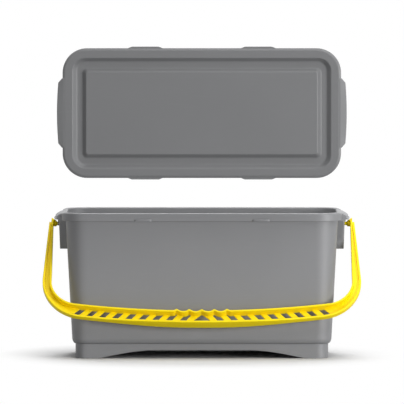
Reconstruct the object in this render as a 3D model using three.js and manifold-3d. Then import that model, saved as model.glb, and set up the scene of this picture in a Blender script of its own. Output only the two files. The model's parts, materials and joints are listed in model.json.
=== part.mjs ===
// Rectangular cleaning bucket with a lift-off lid and a swinging carrying handle.
// Millimetres, +Z up, front towards -Y. The origin is the middle of the underside of the bottom panel,
// which the foot ring holds clear of the ground. Sizes named as heights are measured from the ground.
import * as THREE from 'three';
import { mergeVertices } from 'three/addons/utils/BufferGeometryUtils.js';
import Module from 'manifold-3d';

const wasm = await Module();
wasm.setup();

// Bucket: overall sizes of the tub and its walls
const bucketHeight = 275;        // floor to the flat top of the rim
const mouthOuterLength = 514.8;  // outside of the wall, carried up to the rim's level
const mouthOuterDepth = 229.8;
const mouthOuterRadius = 42;     // upright corners, at the rim's level
const wallTaper = 0.0538;        // how far the wall draws in for each unit of height
const wallThickness = 3;

// Foot: the ring that the tub stands on, with an arch in its front
const footHeight = 27.5;
const footStepIn = 6.4;          // how far the ring stands inside the wall's lower edge
const footStepHeight = 12;
const footWall = 3;
const footEdge = 0.8;
const panelThickness = 3;
const archDrop = 10;             // underside of the bottom panel down to the arch's flat
const archRun = 99;              // length of each curved end of the arch
const archEndInset = 44;         // end of the foot ring to the end of the arch
const archBendShare = 0.3;       // where the arch's curve is steered, from its flat towards its floor end
const leastCornerRadius = 2.6;

// Rim: flange turned out and down round the mouth
const rimOverhang = 6.6;
const rimBandHeight = 15.2;
const rimBandThickness = 2.2;
const rimFlangeThickness = 2.6;
const rimEdgeRadius = 1.6;

// Rim ends: a sloping tab over each pivot housing
const tabWidth = 131;
const tabProud = 12.8;           // how far it reaches past the band of the rim
const tabSlopeRun = 19.8;
const tabShoulder = 5;
const tabShoulderEase = 1.2;
const tabDrop = 7.4;
const tabBow = 3.6;              // how much less it reaches at its corners
const tabSkirtHeight = 7;
const tabLip = 2.7;
const tabLipHeight = 3.2;
const tabThickness = 2.4;

// Ledges on the rim band that a thumb finds when the lid is prised off
const ledgeLength = 33;
const ledgeSpacing = 222;
const ledgeReach = 2.4;
const ledgeHeight = 4;
const ledgeEndSlope = 3.2;

// Pivot housings under the rim's ends
const housingProud = 12.6;       // outside face past the tub's wall, at the rim's level
const housingFaceDraw = 1.6;     // how far that face draws in towards its foot
const housingHeight = 72;        // from the rim's flat top to the foot of the housing
const housingTopWidth = 58;
const housingFootWidth = 44;
const housingWall = 2.8;
const housingEase = 2.8;
const pivotDrop = 25.1;          // pivot axis below the rim's flat top

// Carrying handle: an inner and an outer flange joined by a web along their middle
const armClearance = 1.4;        // between an arm and the lip of the rim's tab
const armSpread = 2.2;           // how much wider apart the arms' inside faces stand at the corners
const armThicknessAtPivot = 7.8;
const armThicknessAtCorner = 16.8;
const flangeThickness = 3.9;
const flangeEdge = 0.8;
const flangeDepth = 20;          // the inner flange, and the outer one at the middle of the grip
const outerFlangeDepth = 10.5;   // the outer flange at the corners and along the arms
const palmLength = 90;           // stretch of the outer flange that keeps its full depth
const palmEase = 160;            // stretch over which it narrows on each side
const webThickness = 2.6;
const gripOuterDrop = 229.9;     // pivot axis to the outside of the grip, at its middle
const gripWidth = 27.8;
const gripOuterRadius = 1670;
const gripInnerRadius = 1820;
const cornerOuterRadius = 81;
const cornerInnerRadius = 52;

// Finger notches along the inside of the grip
const notchCount = 4;
const notchPitch = 23.6;
const notchDepth = 5;
const notchCrest = 2.6;          // how far the crests between them stand above the plain edge
const notchFall = 6;             // from the last crest down to the plain edge

// Truss slots through the web of the grip
const slotsPerSide = 9;
const slotFirstPlace = 44.5;     // lower outside corner of the first slot, from the middle
const slotPitch = 25.6;          // between the two slots nearest the middle
const slotPitchLoss = 0.33;      // how much shorter each further pitch is
const trussBar = 11.5;           // width of the bar between two slots
const slotLean = 13;
const slotRimLow = 3.4;          // web left along the outer flange
const slotRimHigh = 0.8;         // web left along the inner flange
const middleSlotTop = 3;

// Handle pins: each snaps into the face of its housing
const pinRadius = 3.4;
const collarRadius = 5.7;
const collarLength = 5.1;
const collarEase = 1.5;
const pinCatch = 1;              // how far the snap head stands past the edge of its hole
const pinHeadLength = 4.4;
const pinSplit = 1.4;
const pinClearance = 0.5;
const pinPlay = 0.5;             // between the snap head and the inside of the housing
const gussetRadius = 11;         // half cone that carries the upper half of the collar
const gussetFaceInset = 4.2;     // from the arm's outside face to the cone's widest edge

// Lid: a thin tray with a raised middle panel inside a channel
const lidEndInset = 4.2;         // how far its edge stands inside the rim's band
const lidSideInset = 0.8;
const lidRadius = 46;
const lidThickness = 2.4;
const lidEdgeRadius = 1.6;
const lidBorder = 18.45;
const channelOuterRadius = 24;
const channelWallRunEnd = 8.4;
const channelWallRunSide = 6;
const channelFloorRadius = 18;
const channelFloorEnd = 10.2;
const channelFloorSide = 13.5;
const channelDepth = 7.5;
const lidPanelFootRadius = 8;
const lidPanelWallRunEnd = 7.1;
const lidPanelWallRunSide = 6.3;
const lidPanelRadius = 4;
const lidPanelRise = 7;
const locatingRibHeight = 6;
const locatingRibThickness = 2;
const locatingClearance = 2.6;
const lidTabShort = 6.4;         // how much less it reaches than the tab that it lies on
const tongueLength = 70;
const tongueSpacing = 211;
const tongueThickness = 1.8;
const tongueClearance = 0.7;     // between a tongue and the band of the rim that it passes
const tongueDrop = 9;
const tongueEase = 6;            // how much of each end of a tongue falls back to the lid's edge
const tonguePlaceShares = [0, 1 / 3, 1];
const tongueFallShares = [1, 0.4, 0];

// Lid at rest: taken off and held upright, its top to the front, above and before the bucket
const lidHoldForward = 228;
const lidHoldRise = 192.4;

// Shared making values
const seatGap = 0.3;
const overrun = 2;
const mergeDistance = 1e-4;
const leanStep = 1e-5;           // radians, how closely the handle's resting angle is worked out
const cornerSteps = 9;
const curveSteps = 6;
const gripSteps = 14;
const notchSteps = 5;
const roundSides = 28;

const bucketGrey = 0x7d7f81;
const lidGrey = 0x76787a;
const handleYellow = 0xf2cf1d;

// Places worked out from the sizes above
const rimTop = bucketHeight;
const rimHalfLength = mouthOuterLength / 2 + rimOverhang;
const rimHalfDepth = mouthOuterDepth / 2 + rimOverhang;
const rimRadius = mouthOuterRadius + rimOverhang;
const pivotHeight = rimTop - pivotDrop;
const panelUnderside = footHeight - panelThickness;
const stepTop = footHeight + footStepHeight;
const tabReach = rimHalfLength + tabProud;
const tabSlopeStart = tabReach - tabSlopeRun;
const housingReach = mouthOuterLength / 2 + housingProud;
const handleArmInner = tabReach + tabLip + armClearance;
const gripInnerDrop = gripOuterDrop - gripWidth;
const lidHalfLength = rimHalfLength - lidEndInset;
const lidHalfDepth = rimHalfDepth - lidSideInset;

// One closed loop of points round a rectangle with round corners, at one height
function roundedLoop(halfLength, halfDepth, radius, height) {
  const loop = [];
  const corners = [[1, 1, 0], [-1, 1, 1], [-1, -1, 2], [1, -1, 3]];
  for (const [sideX, sideY, quarter] of corners) {
    for (let step = 0; step <= cornerSteps; step += 1) {
      const angle = (quarter + step / cornerSteps) * Math.PI / 2;
      loop.push(new THREE.Vector3(
        sideX * (halfLength - radius) + radius * Math.cos(angle),
        sideY * (halfDepth - radius) + radius * Math.sin(angle),
        height,
      ));
    }
  }
  return loop;
}

// A closed skin over a row of loops with equal counts: neighbours are joined, and the two ends are capped
function skinLoops(loops) {
  const count = loops[0].length;
  const positions = [];
  const indices = [];
  for (const loop of loops) {
    for (const point of loop) {
      positions.push(point.x, point.y, point.z);
    }
  }
  for (let row = 0; row + 1 < loops.length; row += 1) {
    for (let k = 0; k < count; k += 1) {
      const next = (k + 1) % count;
      const a = row * count + k;
      const b = row * count + next;
      const c = (row + 1) * count + next;
      const d = (row + 1) * count + k;
      indices.push(a, b, c, a, c, d);
    }
  }
  capLoop(loops[0], 0, true, indices);
  capLoop(loops[loops.length - 1], (loops.length - 1) * count, false, indices);
  const geometry = new THREE.BufferGeometry();
  geometry.setAttribute('position', new THREE.Float32BufferAttribute(positions, 3));
  geometry.setIndex(indices);
  return geometry;
}

// The flat end of a skin, cut into triangles in the loop's own plane
function capLoop(loop, offset, isFirst, indices) {
  const normal = new THREE.Vector3();
  for (let k = 0; k < loop.length; k += 1) {
    const here = loop[k];
    const next = loop[(k + 1) % loop.length];
    normal.x += (here.y - next.y) * (here.z + next.z);
    normal.y += (here.z - next.z) * (here.x + next.x);
    normal.z += (here.x - next.x) * (here.y + next.y);
  }
  normal.normalize();
  const along = new THREE.Vector3().subVectors(loop[1], loop[0]).normalize();
  const across = new THREE.Vector3().crossVectors(normal, along);
  const flat = loop.map((point) => new THREE.Vector2(point.dot(along), point.dot(across)));
  for (const [a, b, c] of THREE.ShapeUtils.triangulateShape(flat, [])) {
    if (isFirst) {
      indices.push(offset + a, offset + c, offset + b);
    } else {
      indices.push(offset + a, offset + b, offset + c);
    }
  }
}

// A three.js geometry as a solid that can be joined and cut, turned right side out where needed
function toSolid(source) {
  let geometry = source.clone();
  geometry.deleteAttribute('normal');
  geometry.deleteAttribute('uv');
  geometry = mergeVertices(geometry, mergeDistance);
  const vertProperties = Float32Array.from(geometry.attributes.position.array);
  const triVerts = Uint32Array.from(geometry.index.array);
  if (signedVolume(vertProperties, triVerts) < 0) {
    for (let k = 0; k < triVerts.length; k += 3) {
      [triVerts[k + 1], triVerts[k + 2]] = [triVerts[k + 2], triVerts[k + 1]];
    }
  }
  return new wasm.Manifold(new wasm.Mesh({ numProp: 3, vertProperties, triVerts }));
}

function signedVolume(coordinates, triangles) {
  const [a, b, c] = [new THREE.Vector3(), new THREE.Vector3(), new THREE.Vector3()];
  let volume = 0;
  for (let k = 0; k < triangles.length; k += 3) {
    a.fromArray(coordinates, triangles[k] * 3);
    b.fromArray(coordinates, triangles[k + 1] * 3);
    c.fromArray(coordinates, triangles[k + 2] * 3);
    volume += a.dot(b.cross(c)) / 6;
  }
  return volume;
}

function toGeometry(solid) {
  const mesh = solid.getMesh();
  const geometry = new THREE.BufferGeometry();
  geometry.setAttribute('position', new THREE.BufferAttribute(Float32Array.from(mesh.vertProperties), 3));
  geometry.setIndex(new THREE.BufferAttribute(Uint32Array.from(mesh.triVerts), 1));
  geometry.computeVertexNormals();
  return geometry;
}

function plasticMesh(name, solid, color, roughness) {
  const material = new THREE.MeshStandardMaterial({ color, roughness, metalness: 0 });
  const mesh = new THREE.Mesh(toGeometry(solid), material);
  mesh.name = name;
  return mesh;
}

// A solid and its mirror image at the other end of the bucket
function mirrorPair(solid) {
  return [solid, solid.mirror([1, 0, 0])];
}

// A stack of rounded-rectangle loops given as rows of half length, half depth, corner radius and height
function stackSolid(rows) {
  return toSolid(skinLoops(rows.map((row) => roundedLoop(...row))));
}

function insetRow([halfLength, halfDepth, radius], inset, height) {
  return [halfLength - inset, halfDepth - inset, Math.max(radius - inset, leastCornerRadius), height];
}

// Sine and one less cosine over a quarter turn, for the rows and loops of a round edge
function quarterSteps() {
  const steps = [];
  for (let step = 0; step <= curveSteps; step += 1) {
    const angle = step / curveSteps * Math.PI / 2;
    steps.push({ rise: Math.sin(angle), fall: 1 - Math.cos(angle) });
  }
  return steps;
}

// The tub's outside, drawn in or out by an offset, at a height on or above the wall's foot
function wallRow(height, offset) {
  const inward = (rimTop - height) * wallTaper - offset;
  return [mouthOuterLength / 2 - inward, mouthOuterDepth / 2 - inward, mouthOuterRadius - inward, height];
}

// The foot ring's outside, drawn in by an inset, at any height below the step
function footRow(height, inset) {
  return insetRow(wallRow(stepTop, 0), footStepIn + inset, height);
}

// Outside of the tub, filled, up to the rim's flange
function makeTubOutside() {
  const rimRow = (height, inset) => insetRow([rimHalfLength, rimHalfDepth, rimRadius], inset, height);
  const rows = [footRow(0, footEdge), footRow(footEdge, 0)];
  for (const { rise, fall } of quarterSteps()) {
    rows.push(insetRow(wallRow(stepTop, 0), footStepIn * (1 - rise), footHeight + footStepHeight * fall));
  }
  rows.push(wallRow(rimTop - rimBandHeight, 0));
  rows.push(rimRow(rimTop - rimBandHeight, 0));
  for (const { rise, fall } of quarterSteps()) {
    rows.push(rimRow(rimTop - rimEdgeRadius * (1 - rise), rimEdgeRadius * fall));
  }
  return stackSolid(rows);
}

// Inside of the tub, from its floor to above the rim
function makeTubInside() {
  const rows = [];
  for (const { rise, fall } of quarterSteps()) {
    const inset = wallThickness + footStepIn * (1 - fall) + footStepHeight * (1 - rise);
    rows.push(insetRow(wallRow(stepTop, 0), inset, footHeight + footStepHeight * fall));
  }
  rows.push(wallRow(rimTop - rimEdgeRadius, -wallThickness));
  rows.push(wallRow(rimTop, rimEdgeRadius - wallThickness));
  rows.push(wallRow(rimTop + overrun, rimEdgeRadius - wallThickness));
  return stackSolid(rows);
}

// The hollow between the rim's band and the wall, open below
function makeRimHollow() {
  const top = rimTop - rimFlangeThickness;
  const bottom = rimTop - rimBandHeight - overrun;
  const band = [rimHalfLength, rimHalfDepth, rimRadius];
  const outer = stackSolid([bottom, top].map((height) => insetRow(band, rimBandThickness, height)));
  const inner = stackSolid([wallRow(bottom - overrun, 0), wallRow(top + overrun, 0)]);
  return outer.subtract(inner);
}

function makeFootHollow() {
  return stackSolid([
    footRow(-overrun, footWall),
    footRow(panelUnderside - footWall, footWall),
    footRow(panelUnderside, footWall + footWall),
  ]);
}

// The arch through the front of the foot ring, cut from outside into the hollow behind it
function makeArchCut() {
  const halfFloor = footRow(0, 0)[0] - archEndInset;
  const halfFlat = halfFloor - archRun;
  const bendPlace = halfFlat + archRun * archBendShare;
  const archHeight = panelUnderside - archDrop;
  const shape = new THREE.Shape();
  shape.moveTo(halfFloor, -overrun);
  shape.lineTo(halfFloor, 0);
  shape.quadraticCurveTo(bendPlace, archHeight, halfFlat, archHeight);
  shape.lineTo(-halfFlat, archHeight);
  shape.quadraticCurveTo(-bendPlace, archHeight, -halfFloor, 0);
  shape.lineTo(-halfFloor, -overrun);
  const geometry = new THREE.ExtrudeGeometry(shape, {
    depth: mouthOuterDepth / 2 + overrun,
    bevelEnabled: false,
    curveSegments: cornerSteps,
  });
  geometry.rotateX(Math.PI / 2);
  return toSolid(geometry);
}

// A bar across one end of the bucket. Its outline in X and Z is the same at every Y, except that points
// marked as following draw in along a bow
function bowedBar(outline, width, bow) {
  const loops = [];
  const steps = 2 * curveSteps;
  for (let step = 0; step <= steps; step += 1) {
    const share = 2 * step / steps - 1;
    loops.push(outline.map(([x, z, follows]) => (
      new THREE.Vector3(follows ? x - bow * share * share : x, share * width / 2, z)
    )));
  }
  return toSolid(skinLoops(loops));
}

// Height of the slope on the rim's tab, measured from the rim's flat top, at a place along the bucket
function slopeAt(x) {
  return -tabDrop * (x - tabSlopeStart) / tabSlopeRun;
}

// The sloping tab over the pivot housing, with a skirt and a small lip, hollow below
function makeRimTab() {
  const root = mouthOuterLength / 2 - wallThickness;
  const shoulder = tabReach - tabShoulder;
  const low = rimTop - tabDrop;
  const skirtFoot = low - tabSkirtHeight;
  const outside = bowedBar([
    [root, rimTop, false],
    [tabSlopeStart, rimTop, false],
    [shoulder, rimTop + slopeAt(shoulder), true],
    [tabReach - tabShoulderEase, low - tabShoulderEase, true],
    [tabReach, low - 2 * tabShoulderEase, true],
    [tabReach, skirtFoot + tabLipHeight, true],
    [tabReach + tabLip, skirtFoot + tabLipHeight / 2, true],
    [tabReach + tabLip, skirtFoot, true],
    [root, skirtFoot, false],
  ], tabWidth, tabBow);
  const inside = bowedBar([
    [root, rimTop - tabThickness, false],
    [tabSlopeStart, rimTop - tabThickness, false],
    [shoulder - tabThickness / 2, rimTop + slopeAt(shoulder) - tabThickness, true],
    [tabReach - tabThickness, low - tabShoulder, true],
    [tabReach - tabThickness, skirtFoot - overrun, true],
    [root, skirtFoot - overrun, false],
  ], tabWidth - 2 * tabThickness, tabBow);
  return { outside, inside };
}

// What a tab's slope takes off whatever stands between the tab's two ends, above a given height
function makeSlopeClearing(top) {
  const shoulder = tabReach - tabShoulder;
  const far = tabReach + tabLip + overrun;
  return bowedBar([
    [tabSlopeStart, top, false],
    [shoulder, top + slopeAt(shoulder), true],
    [far, top + slopeAt(shoulder), true],
    [far, top + overrun, true],
    [tabSlopeStart, top + overrun, false],
  ], tabWidth, tabBow);
}

// One pivot housing: a hollow box that narrows towards its open foot, its roof under the tab's slope
function makeHousing() {
  const top = rimTop - tabThickness / 2;
  const foot = rimTop - housingHeight;
  const rootAt = (height) => mouthOuterLength / 2 - (rimTop - height) * wallTaper - wallThickness / 2;
  const loopAt = (height, shrink, innerX) => {
    const share = (height - foot) / (top - foot);
    const halfWidth = (housingFootWidth + (housingTopWidth - housingFootWidth) * share) / 2 - shrink;
    const draw = housingFaceDraw * (pivotHeight - height) / (pivotHeight - foot);
    const face = housingReach - draw - shrink;
    return [
      new THREE.Vector3(innerX, -halfWidth, height),
      new THREE.Vector3(face - housingEase, -halfWidth, height),
      new THREE.Vector3(face, -halfWidth + housingEase, height),
      new THREE.Vector3(face, halfWidth - housingEase, height),
      new THREE.Vector3(face - housingEase, halfWidth, height),
      new THREE.Vector3(innerX, halfWidth, height),
    ];
  };
  const outside = toSolid(skinLoops([loopAt(foot, 0, rootAt(foot)), loopAt(top, 0, rootAt(top))]));
  const inside = toSolid(skinLoops([
    loopAt(foot - overrun, housingWall, rootAt(foot) - wallThickness),
    loopAt(top - housingWall, housingWall, rootAt(top) - wallThickness),
  ]));
  return {
    outside: outside.subtract(makeSlopeClearing(top)),
    inside: inside.subtract(makeSlopeClearing(rimTop - tabThickness)),
  };
}

function cylinderAlongX(radius, from, to, height) {
  const geometry = new THREE.CylinderGeometry(radius, radius, to - from, roundSides);
  geometry.rotateZ(Math.PI / 2);
  geometry.translate((from + to) / 2, 0, height);
  return toSolid(geometry);
}

// A thumb ledge along the foot of the rim band, with slanted ends
function makeLedge(side) {
  const half = ledgeLength / 2;
  const shape = new THREE.Shape();
  shape.moveTo(-half, -rimBandThickness / 2);
  shape.lineTo(-half, 0);
  shape.lineTo(-half + ledgeEndSlope, ledgeReach);
  shape.lineTo(half - ledgeEndSlope, ledgeReach);
  shape.lineTo(half, 0);
  shape.lineTo(half, -rimBandThickness / 2);
  const geometry = new THREE.ExtrudeGeometry(shape, { depth: ledgeHeight, bevelEnabled: false });
  geometry.rotateZ(Math.PI);
  geometry.translate(side * ledgeSpacing / 2, -rimHalfDepth, rimTop - rimBandHeight);
  return toSolid(geometry);
}

function makeBucket() {
  const tab = makeRimTab();
  const housing = makeHousing();
  const pinHole = cylinderAlongX(
    pinRadius + pinClearance,
    housingReach - 2 * housingWall,
    housingReach + overrun,
    pivotHeight,
  );
  const wallKeep = stackSolid([wallRow(stepTop, 0), wallRow(rimTop, 0)]);
  let shell = makeTubOutside();
  for (const clearing of mirrorPair(makeSlopeClearing(rimTop))) {
    shell = shell.subtract(clearing);
  }
  for (const piece of mirrorPair(tab.outside)) {
    shell = shell.add(piece);
  }
  shell = shell.subtract(makeRimHollow());
  for (const hollow of mirrorPair(tab.inside.subtract(wallKeep))) {
    shell = shell.subtract(hollow);
  }
  for (const piece of mirrorPair(housing.outside)) {
    shell = shell.add(piece);
  }
  for (const hollow of mirrorPair(housing.inside.subtract(wallKeep))) {
    shell = shell.subtract(hollow);
  }
  shell = shell.subtract(makeTubInside()).subtract(makeFootHollow()).subtract(makeArchCut());
  for (const hole of mirrorPair(pinHole)) {
    shell = shell.subtract(hole);
  }
  for (const side of [-1, 1]) {
    const ledge = makeLedge(side);
    shell = shell.add(ledge).add(ledge.mirror([0, 1, 0]));
  }
  return shell;
}

// The handle is drawn in its own plane: x across, and drop measured from the pivot axis.
// One half of an edge: straight arm, round corner, then the long arc of the grip to the middle.
// Each point comes with the direction that faces away from the middle of the hand gap.
function edgeHalf(armTop, armCorner, gripDrop, gripRadius, cornerRadius) {
  const cornerDrop = gripDrop - armCorner * armCorner / (2 * gripRadius) - cornerRadius;
  const armAngle = Math.atan((armCorner - armTop) / cornerDrop);
  const armNormal = new THREE.Vector2(Math.cos(armAngle), -Math.sin(armAngle));
  const armDirection = new THREE.Vector2(Math.sin(armAngle), Math.cos(armAngle));
  const armStart = new THREE.Vector2(armTop, 0);
  const gripCentre = new THREE.Vector2(0, gripDrop - gripRadius);
  // The corner's centre lies one radius inside the arm's line and one radius inside the grip's arc
  const offset = armStart.clone().addScaledVector(armNormal, -cornerRadius).sub(gripCentre);
  const along = offset.dot(armDirection);
  const reach = gripRadius - cornerRadius;
  const travel = -along + Math.sqrt(along * along - offset.lengthSq() + reach * reach);
  const cornerCentre = armStart.clone()
    .addScaledVector(armNormal, -cornerRadius)
    .addScaledVector(armDirection, travel);
  const armEnd = armNormal.angle() - 2 * Math.PI;
  const gripEnd = cornerCentre.clone().sub(gripCentre).angle();
  const edge = [];
  const addRound = (centre, radius, angle) => {
    const normal = new THREE.Vector2(Math.cos(angle), Math.sin(angle));
    edge.push({ point: centre.clone().addScaledVector(normal, radius), normal });
  };
  for (let step = 0; step < curveSteps; step += 1) {
    const point = armStart.clone().addScaledVector(armDirection, travel * step / curveSteps);
    edge.push({ point, normal: armNormal.clone() });
  }
  for (let step = 0; step <= cornerSteps; step += 1) {
    addRound(cornerCentre, cornerRadius, armEnd + (gripEnd - armEnd) * step / cornerSteps);
  }
  for (const place of gripPlaces(edge[edge.length - 1].point.x)) {
    addRound(gripCentre, gripRadius, Math.acos(place / gripRadius));
  }
  return edge;
}

// Places of a grip edge's points, from just inside the corner to the middle, closer over the notches
function gripPlaces(start) {
  const notchEnd = notchCount * notchPitch / 2;
  const places = [];
  for (let step = 1; step <= gripSteps; step += 1) {
    places.push(start + (notchEnd + notchFall - start) * step / gripSteps);
  }
  const count = notchCount * notchSteps;
  for (let step = 0; step <= count; step += 1) {
    places.push(notchEnd * (1 - step / count));
  }
  return places;
}

// How far an edge with finger notches stands above the plain edge at a place along the grip
function notchRise(x) {
  const past = Math.abs(x) - notchCount * notchPitch / 2;
  if (past > 0) {
    return notchCrest * Math.max(1 - past / notchFall, 0);
  }
  const share = (Math.abs(x) / notchPitch) % 1;
  const fromValley = 2 * share - 1;
  return notchCrest - notchDepth * (1 - fromValley * fromValley);
}

function outerEdge() {
  const corner = handleArmInner + armSpread + armThicknessAtCorner;
  const top = handleArmInner + armThicknessAtPivot;
  return edgeHalf(top, corner, gripOuterDrop, gripOuterRadius, cornerOuterRadius);
}

function innerEdge() {
  const corner = handleArmInner + armSpread;
  const edge = edgeHalf(handleArmInner, corner, gripInnerDrop, gripInnerRadius, cornerInnerRadius);
  for (const { point } of edge) {
    if (point.y > gripInnerDrop / 2) {
      point.y -= notchRise(point.x);
    }
  }
  return edge;
}

// A half edge and its mirror image, from one arm's top round to the other's
function fullEdge(half) {
  const flip = (vector) => new THREE.Vector2(-vector.x, vector.y);
  const other = half.slice(0, -1).reverse();
  return [...half, ...other.map(({ point, normal }) => ({ point: flip(point), normal: flip(normal) }))];
}

// A flange along an edge, on the side that faces the web, its depth given for each place across the handle
function makeFlange(edge, towardWeb, depthAt) {
  const loops = edge.map(({ point, normal }) => {
    const half = depthAt(Math.abs(point.x)) / 2;
    const at = (inward, forward) => {
      const moved = point.clone().addScaledVector(normal, towardWeb * inward);
      return new THREE.Vector3(moved.x, moved.y, forward);
    };
    return [
      at(flangeThickness, -half),
      at(flangeEdge, -half),
      at(0, flangeEdge - half),
      at(0, half - flangeEdge),
      at(flangeEdge, half),
      at(flangeThickness, half),
    ];
  });
  return toSolid(skinLoops(loops));
}

// Depth of the outer flange: full over the palm's length, then easing to its least towards the corners
function outerDepthAt(x) {
  const share = THREE.MathUtils.smoothstep(x, palmLength / 2, palmLength / 2 + palmEase);
  return flangeDepth + (outerFlangeDepth - flangeDepth) * share;
}

function extrudeFlat(shape, from, to) {
  const geometry = new THREE.ExtrudeGeometry(shape, { depth: to - from, bevelEnabled: false });
  geometry.translate(0, 0, from);
  return toSolid(geometry);
}

// The web: a sheet between the middles of the two flanges
function makeWeb() {
  const inset = (towardWeb) => ({ point, normal }) => (
    point.clone().addScaledVector(normal, towardWeb * flangeThickness / 2)
  );
  const outer = fullEdge(outerEdge()).map(inset(-1));
  const inner = fullEdge(innerEdge()).map(inset(1));
  const shape = new THREE.Shape([...outer, ...inner.reverse()]);
  return extrudeFlat(shape, -webThickness / 2, webThickness / 2);
}

// Slots through the web: leaning one way on the left, the other way on the right, and a wedge between
function makeSlotShapes() {
  const low = (x) => gripOuterDrop - x * x / (2 * gripOuterRadius) - flangeThickness - slotRimLow;
  const high = (x) => gripInnerDrop - x * x / (2 * gripInnerRadius) + flangeThickness + slotRimHigh;
  const corner = (x, edge, side) => new THREE.Vector2(side * x, edge(x));
  const wedgeHalf = slotFirstPlace - slotPitch;
  const shapes = [new THREE.Shape([
    corner(middleSlotTop / 2, high, -1),
    corner(middleSlotTop / 2, high, 1),
    corner(wedgeHalf, low, 1),
    corner(wedgeHalf, low, -1),
  ])];
  const gripEnd = handleArmInner - cornerInnerRadius;
  let place = slotFirstPlace;
  let pitch = slotPitch;
  for (let number = 0; number < slotsPerSide && place - slotLean < gripEnd; number += 1) {
    const start = place - (pitch - trussBar);
    for (const side of [-1, 1]) {
      shapes.push(new THREE.Shape([
        corner(start - slotLean, high, side),
        corner(place - slotLean, high, side),
        corner(place, low, side),
        corner(start, low, side),
      ]));
    }
    place += pitch;
    pitch -= slotPitchLoss;
  }
  return shapes;
}

// A shape turned about the pivot axis, given as pairs of radius and place along the axis
function turnAboutPivot(profile) {
  const points = profile.map(([radius, place]) => new THREE.Vector2(radius, place));
  const geometry = new THREE.LatheGeometry(points.reverse(), roundSides);
  geometry.rotateZ(-Math.PI / 2);
  return toSolid(geometry);
}

// Collar, neck and split snap head, pointing in from the arm, with a half cone above to carry them
function makePin() {
  const root = handleArmInner + armThicknessAtPivot / 2;
  const collarEnd = handleArmInner - collarLength;
  const headOuter = housingReach - housingWall - pinPlay;
  const headRadius = pinRadius + pinClearance + pinCatch;
  const pin = turnAboutPivot([
    [0, root],
    [collarRadius, root],
    [collarRadius, collarEnd],
    [pinRadius, collarEnd - collarEase],
    [pinRadius, headOuter],
    [headRadius, headOuter],
    [pinRadius, headOuter - pinHeadLength],
    [0, headOuter - pinHeadLength],
  ]);
  const gussetFace = handleArmInner + armThicknessAtPivot - gussetFaceInset;
  const gusset = turnAboutPivot([
    [0, gussetFace],
    [gussetRadius, gussetFace],
    [collarRadius, collarEnd],
    [0, collarEnd],
  ]);
  const lowerSide = new THREE.BoxGeometry(2 * gussetRadius, 2 * gussetRadius, 2 * gussetRadius);
  lowerSide.translate(gussetFace - gussetRadius, 0, -gussetRadius);
  const split = new THREE.BoxGeometry(pinHeadLength + housingWall, 2 * headRadius + overrun, pinSplit);
  split.translate(headOuter - pinHeadLength / 2, 0, 0);
  return pin.add(gusset.subtract(toSolid(lowerSide))).subtract(toSolid(split));
}

function makeHandle() {
  let body = makeFlange(fullEdge(outerEdge()), -1, outerDepthAt);
  body = body.add(makeFlange(fullEdge(innerEdge()), 1, () => flangeDepth)).add(makeWeb());
  for (const shape of makeSlotShapes()) {
    body = body.subtract(extrudeFlat(shape, -webThickness, webThickness));
  }
  // From the drawing plane of across, drop and forward into the bucket's axes, hanging straight down
  body = body.transform([1, 0, 0, 0, 0, 0, -1, 0, 0, -1, 0, 0, 0, 0, 0, 1]);
  for (const piece of mirrorPair(makePin())) {
    body = body.add(piece);
  }
  return body;
}

// Half the depth of the tub's outside at a place along it and a height, or zero beyond its ends
function wallHalfDepth(x, height) {
  const [halfLength, halfDepth, radius] = wallRow(height, 0);
  const past = Math.abs(x) - (halfLength - radius);
  if (past > radius) {
    return 0;
  }
  return past > 0 ? halfDepth - radius + Math.sqrt(radius * radius - past * past) : halfDepth;
}

// How far forward the handle hangs when the back of its grip rests against the front wall
function restingLean() {
  const back = flangeDepth / 2;
  const edge = innerEdge().map(({ point }) => point).filter((point) => point.y > gripInnerDrop / 2);
  const clears = (angle) => edge.every((point) => {
    const forward = point.y * Math.sin(angle) - back * Math.cos(angle);
    const height = pivotHeight - point.y * Math.cos(angle) - back * Math.sin(angle);
    return forward >= wallHalfDepth(point.x, height) + seatGap;
  });
  let [low, high] = [0, Math.PI / 2];
  while (high - low > leanStep) {
    const middle = (low + high) / 2;
    if (clears(middle)) {
      high = middle;
    } else {
      low = middle;
    }
  }
  return high;
}

// The lid is drawn lying flat, with the plane that seats on the rim at zero height
function makeLidTop() {
  const channelOuter = [lidHalfLength - lidBorder, lidHalfDepth - lidBorder, channelOuterRadius];
  const within = ([halfLength, halfDepth], atEnd, atSide, radius) => (
    [halfLength - atEnd, halfDepth - atSide, radius]
  );
  const channelFloor = within(channelOuter, channelWallRunEnd, channelWallRunSide, channelFloorRadius);
  const panelFoot = within(channelFloor, channelFloorEnd, channelFloorSide, lidPanelFootRadius);
  const panel = within(panelFoot, lidPanelWallRunEnd, lidPanelWallRunSide, lidPanelRadius);
  const sheet = (top) => [
    [...channelOuter, top],
    [...channelFloor, top - channelDepth],
    [...panelFoot, top - channelDepth],
    [...panel, top - channelDepth + lidPanelRise],
  ];
  const border = [lidHalfLength, lidHalfDepth, lidRadius];
  const edge = quarterSteps().map(({ rise, fall }) => (
    insetRow(border, lidEdgeRadius * fall, lidThickness - lidEdgeRadius * (1 - rise))
  ));
  return stackSolid([...sheet(0).reverse(), [...border, 0], ...edge, ...sheet(lidThickness)]);
}

// Low rib under the border that finds the inside of the bucket's mouth
function makeLocatingRib() {
  const outer = wallRow(rimTop, -wallThickness - locatingClearance);
  const top = lidThickness / 2;
  const ring = stackSolid([insetRow(outer, 0, -locatingRibHeight), insetRow(outer, 0, top)]);
  return ring.subtract(stackSolid([
    insetRow(outer, locatingRibThickness, -locatingRibHeight - overrun),
    insetRow(outer, locatingRibThickness, top + overrun),
  ]));
}

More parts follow.
